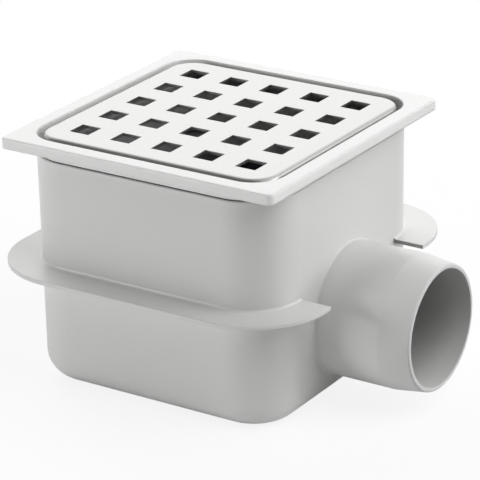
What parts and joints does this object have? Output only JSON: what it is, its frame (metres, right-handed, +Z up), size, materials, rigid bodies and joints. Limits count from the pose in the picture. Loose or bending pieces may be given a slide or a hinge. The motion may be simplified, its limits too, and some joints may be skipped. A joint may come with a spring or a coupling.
{
  "type": "floor gully trap",
  "caption": "Square floor gully with a side outlet pipe, a membrane collar, a height-adjustable frame with a steel grate, and a removable water trap inside.",
  "frame": {"origin": "centre of the body's flat base, on the vertical axis through the grate's middle", "axes": "+Z up, +X out of the outlet pipe, +Y to the left when looking out of the pipe; the object is symmetric across Y"},
  "size_m": [0.1982, 0.1654, 0.12],
  "materials": {
    "body_abs": "grey moulded ABS, fine satin",
    "plate_abs": "grey moulded ABS",
    "cup_pp": "dark grey polypropylene",
    "insert_pp": "dark grey polypropylene",
    "seal_rubber": "black EPDM rubber",
    "frame_abs": "white moulded ABS, satin gloss",
    "stainless_steel": "stainless sheet with a fine grain"
  },
  "bodies": {
    "gully": {"gully_body": "body_abs", "seat_plate": "plate_abs", "trap_cup": "cup_pp", "trap_insert": "insert_pp", "insert_seal": "seal_rubber"},
    "frame": {"top_frame": "frame_abs", "frame_seal": "seal_rubber", "grate": "stainless_steel"}
  },
  "joints": [
    {"name": "frame_slide", "type": "slide", "parent": "gully", "child": "frame", "axis": [0, 0, 1], "range_m": [0, 0.018]}
  ]
}
